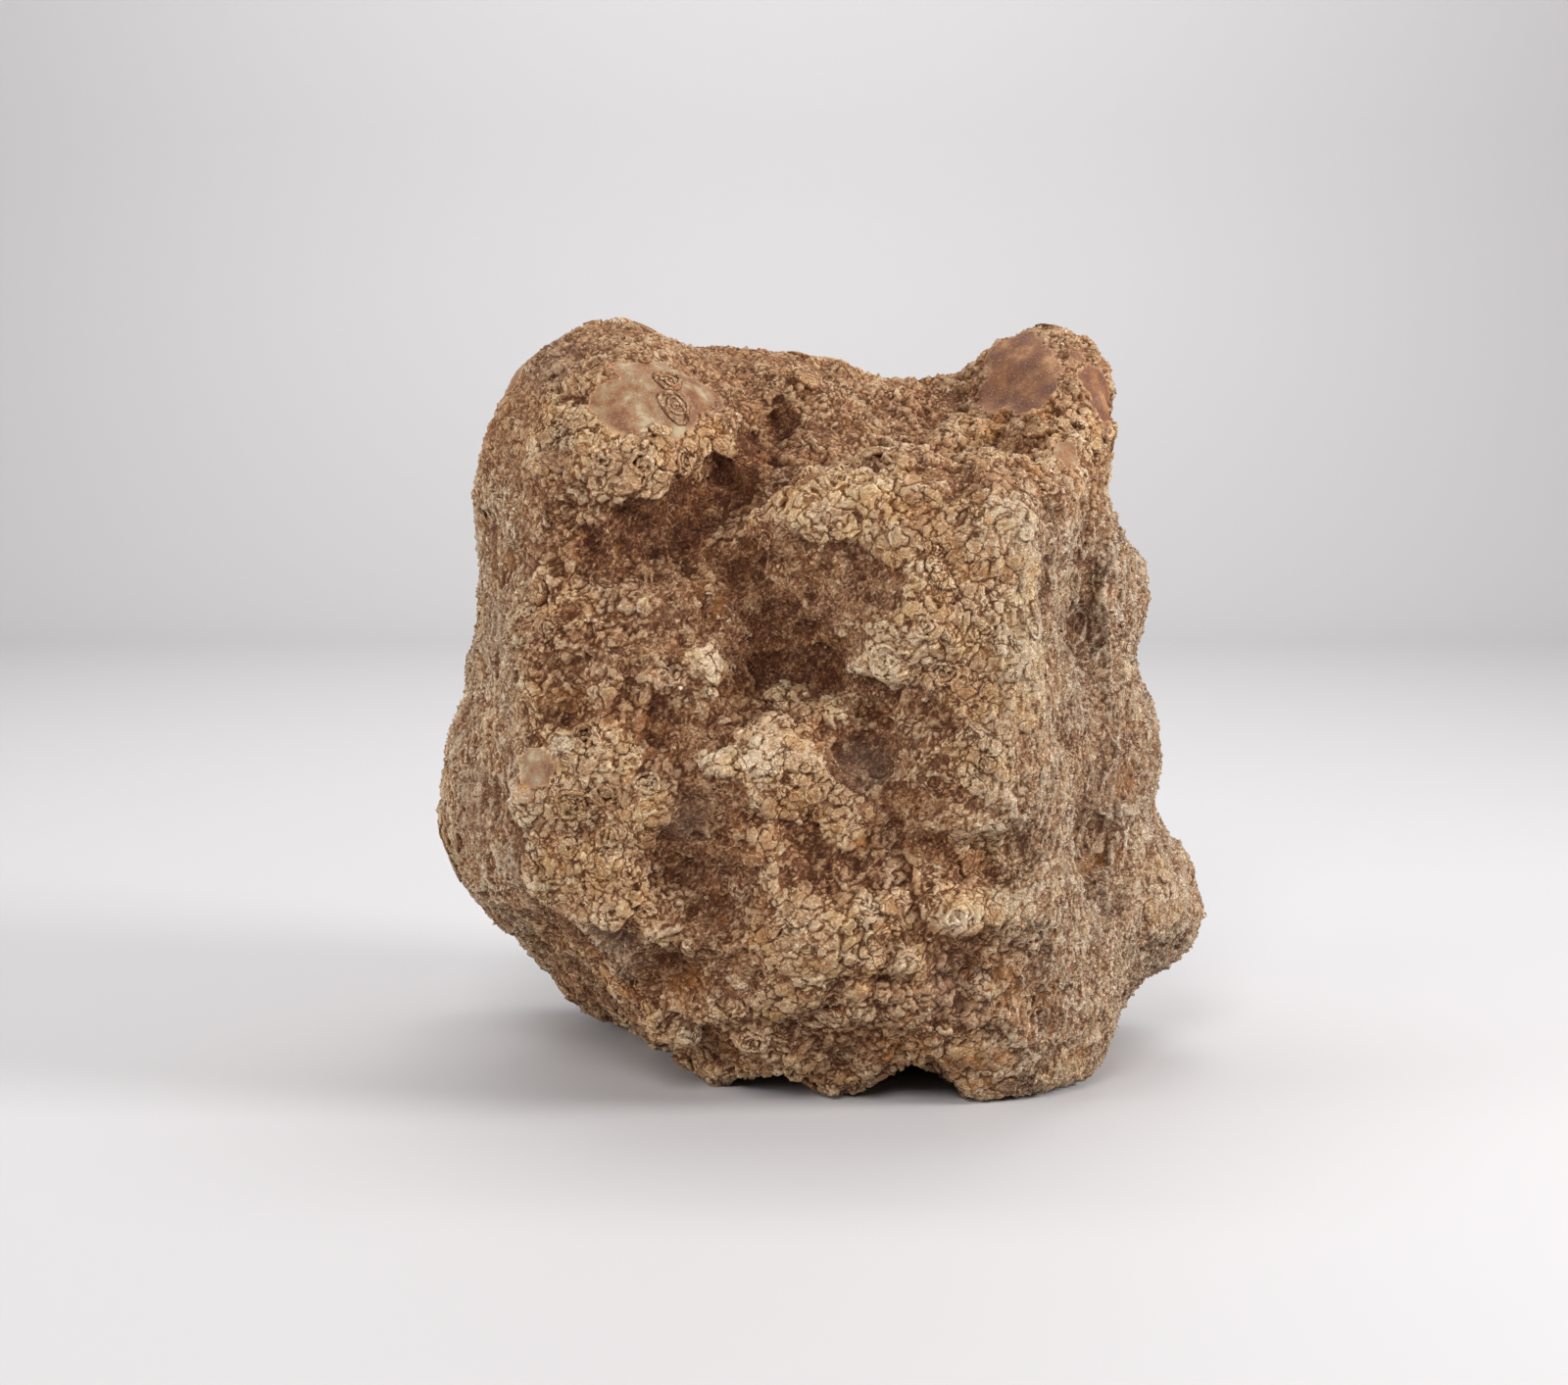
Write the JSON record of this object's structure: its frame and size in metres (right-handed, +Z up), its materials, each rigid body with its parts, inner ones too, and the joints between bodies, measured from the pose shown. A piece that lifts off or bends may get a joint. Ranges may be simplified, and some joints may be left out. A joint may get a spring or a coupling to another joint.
{
  "type": "unopened geode",
  "caption": "Whole, unopened geode: a blocky lump of crusted chalcedony with a round knob, a blunt horn and a saddle between them, resting on its feet.",
  "frame": {"origin": "centre of the footprint of the stone's bounding box, on the surface it rests on", "axes": "+X from the knob towards the horn, along the widest side of the front; +Y from the front to the back; +Z up"},
  "size_m": [0.1194, 0.0996, 0.1139],
  "materials": {
    "crust": "rough, dry crust of tan plates and grains over brown clay, with small smooth windows of milky orange chalcedony"
  },
  "bodies": {
    "root": {"geode": "crust"}
  },
  "joints": []
}
